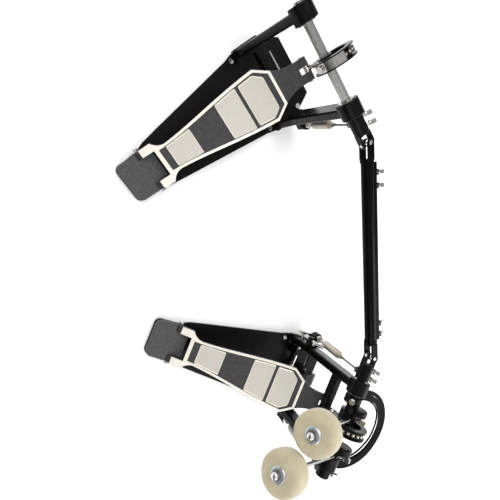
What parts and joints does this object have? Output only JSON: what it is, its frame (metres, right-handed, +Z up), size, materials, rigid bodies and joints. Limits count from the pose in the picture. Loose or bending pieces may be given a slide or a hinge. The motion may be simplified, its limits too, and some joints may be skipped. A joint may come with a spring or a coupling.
{
  "type": "bass drum pedal",
  "caption": "Double bass drum pedal: main and slave footboards on plates, chain cams, coil springs, felt beaters and a telescopic drive shaft with universal joints.",
  "frame": {"origin": "on the floor under the middle of the whole pedal's box", "axes": "+X along the main pedal's axle, away from the slave pedal; +Y from the main pedal's heel to its toe; +Z up"},
  "size_m": [0.6432, 0.529, 0.3205],
  "materials": {
    "base_black": "satin black",
    "heel_grey": "satin dark grey",
    "cast_black": "satin black",
    "board_grey": "satin dark grey",
    "rim_bright": "machined",
    "tread_bright": "fine grained",
    "bright_steel": "polished",
    "bearing_steel": "ground",
    "chain_steel": "nickel",
    "spring_steel": "wound wire",
    "shaft_black": "gloss black",
    "rubber_black": "matt",
    "felt_cream": "pressed felt",
    "strap_black": "ribbed webbing"
  },
  "bodies": {
    "main_stand": {"main_base_plate": "base_black", "main_heel_plate": "heel_grey", "main_hinge_pins": "bright_steel", "main_rubber_feet": "rubber_black", "main_base_bolts": "bright_steel", "main_bearings": "bearing_steel", "main_frame": "cast_black", "main_springs": "spring_steel", "main_spring_adjusters": "bright_steel", "clamp_bracket": "base_black", "drum_key": "bright_steel", "carry_strap": "strap_black"},
    "clamp_jaw": {"clamp_jaw": "cast_black", "clamp_pad": "rubber_black"},
    "clamp_screw": {"clamp_screw": "bright_steel"},
    "main_footboard": {"main_footboard": "board_grey", "main_footboard_rim": "rim_bright", "main_traction_pads": "tread_bright", "main_toe_pin": "bright_steel"},
    "main_chain": {"main_chain_run": "chain_steel"},
    "main_axle": {"main_axle": "bright_steel", "main_cam": "cast_black", "main_chain_wrap": "chain_steel", "main_outer_collar": "cast_black", "right_beater_hub": "cast_black", "main_axle_fittings": "bright_steel"},
    "right_beater": {"right_beater_rod": "bright_steel", "right_beater_felt": "felt_cream"},
    "aux_axle": {"aux_axle": "cast_black", "aux_coupler": "cast_black", "aux_rocker": "cast_black", "left_beater_hub": "cast_black", "aux_axle_fittings": "bright_steel"},
    "left_beater": {"left_beater_rod": "bright_steel", "left_beater_felt": "felt_cream"},
    "main_joint_cross": {"main_joint_cross": "bright_steel"},
    "slave_stand": {"slave_base_plate": "base_black", "slave_heel_plate": "heel_grey", "slave_hinge_pins": "bright_steel", "slave_rubber_feet": "rubber_black", "slave_base_bolts": "bright_steel", "slave_bearings": "bearing_steel", "slave_frame": "cast_black", "slave_spring": "spring_steel", "slave_spring_adjuster": "bright_steel"},
    "slave_footboard": {"slave_footboard": "board_grey", "slave_footboard_rim": "rim_bright", "slave_traction_pads": "tread_bright", "slave_toe_pin": "bright_steel"},
    "slave_chain": {"slave_chain_run": "chain_steel"},
    "slave_axle": {"slave_axle": "bright_steel", "slave_cam": "cast_black", "slave_chain_wrap": "chain_steel", "slave_coupler": "cast_black", "slave_rocker": "cast_black", "slave_axle_fittings": "bright_steel"},
    "slave_joint_cross": {"slave_joint_cross": "bright_steel"},
    "shaft_tube": {"shaft_tube": "shaft_black", "shaft_bolts": "bright_steel"},
    "shaft_rod": {"shaft_rod": "shaft_black"}
  },
  "joints": [
    {"name": "right_beater_swing", "type": "hinge", "parent": "main_stand", "child": "main_axle", "pos_m": [0.23115, 0.16663, 0.2101], "axis": [-1, 0, 0], "range_deg": [0, 72], "stiffness_Nm_per_rad": 0.6, "springref_deg": -28.65, "deforming": ["main_springs"]},
    {"name": "main_footboard_tilt", "type": "hinge", "parent": "main_stand", "child": "main_footboard", "pos_m": [0.23115, -0.07207, 0.0125], "axis": [-1, 0, 0], "range_deg": [0, 10.23]},
    {"name": "main_chain_lean", "type": "hinge", "parent": "main_footboard", "child": "main_chain", "pos_m": [0.23115, 0.17593, 0.14091], "axis": [-1, 0, 0], "range_deg": [-29.53, 0]},
    {"name": "left_beater_swing", "type": "hinge", "parent": "main_stand", "child": "aux_axle", "pos_m": [0.23115, 0.16663, 0.2101], "axis": [-1, 0, 0], "range_deg": [0, 72], "stiffness_Nm_per_rad": 0.6, "springref_deg": -28.65, "deforming": ["main_springs"]},
    {"name": "main_cross_tilt", "type": "hinge", "parent": "aux_axle", "child": "main_joint_cross", "pos_m": [0.11315, 0.16663, 0.2101], "axis": [0, -1, 0], "range_deg": [0, 28.81]},
    {"name": "shaft_rod_turn", "type": "hinge", "parent": "main_stand", "child": "shaft_rod", "pos_m": [0.11315, 0.16663, 0.2101], "axis": [-0.8733, -0.4872, 0], "range_deg": [0, 74.89]},
    {"name": "slave_distance", "type": "slide", "parent": "main_stand", "child": "slave_stand", "axis": [-0.8733, -0.4872, 0], "range_m": [0, 0.1]},
    {"name": "slave_axle_turn", "type": "hinge", "parent": "slave_stand", "child": "slave_axle", "pos_m": [-0.23269, -0.09265, 0.2101], "axis": [-0.5216, -0.8532, 0], "range_deg": [0, 72], "deforming": ["slave_spring"]},
    {"name": "slave_footboard_tilt", "type": "hinge", "parent": "slave_stand", "child": "slave_footboard", "pos_m": [-0.02903, -0.21715, 0.0125], "axis": [-0.5216, -0.8532, 0], "range_deg": [0, 10.23]},
    {"name": "slave_chain_lean", "type": "hinge", "parent": "slave_footboard", "child": "slave_chain", "pos_m": [-0.24062, -0.08779, 0.14091], "axis": [-0.5216, -0.8532, 0], "range_deg": [-29.53, 0]},
    {"name": "slave_cross_tilt", "type": "hinge", "parent": "slave_axle", "child": "slave_joint_cross", "pos_m": [-0.17114, 0.00803, 0.2101], "axis": [-0.8532, 0.5216, 0], "range_deg": [0, 28.81]},
    {"name": "shaft_tube_turn", "type": "hinge", "parent": "slave_stand", "child": "shaft_tube", "pos_m": [-0.17114, 0.00803, 0.2101], "axis": [-0.8733, -0.4872, 0], "range_deg": [0, 74.89]},
    {"name": "left_beater_height", "type": "slide", "parent": "aux_axle", "child": "left_beater", "axis": [0, -0.8625, 0.506], "range_m": [-0.003, 0.018]},
    {"name": "right_beater_height", "type": "slide", "parent": "main_axle", "child": "right_beater", "axis": [0, -0.9085, 0.4179], "range_m": [-0.018, 0.006]},
    {"name": "clamp_jaw_close", "type": "hinge", "parent": "main_stand", "child": "clamp_jaw", "pos_m": [0.23115, 0.19593, 0.034], "axis": [-1, 0, 0], "range_deg": [0, 6.5]},
    {"name": "clamp_screw_travel", "type": "slide", "parent": "main_stand", "child": "clamp_screw", "axis": [1, 0, 0], "range_m": [0, 0.0082]}
  ],
  "couplings": [
    {"joint": "main_footboard_tilt", "follows": "right_beater_swing", "ratio": 0.142},
    {"joint": "main_chain_lean", "follows": "right_beater_swing", "ratio": -0.41},
    {"joint": "main_cross_tilt", "follows": "left_beater_swing", "ratio": 0.4},
    {"joint": "shaft_rod_turn", "follows": "left_beater_swing", "ratio": 1.04},
    {"joint": "slave_axle_turn", "follows": "left_beater_swing", "ratio": 1},
    {"joint": "slave_footboard_tilt", "follows": "left_beater_swing", "ratio": 0.142},
    {"joint": "slave_chain_lean", "follows": "left_beater_swing", "ratio": -0.41},
    {"joint": "slave_cross_tilt", "follows": "left_beater_swing", "ratio": 0.4},
    {"joint": "shaft_tube_turn", "follows": "left_beater_swing", "ratio": 1.04},
    {"joint": "clamp_screw_travel", "follows": "clamp_jaw_close", "m_per_rad": 0.07052}
  ]
}
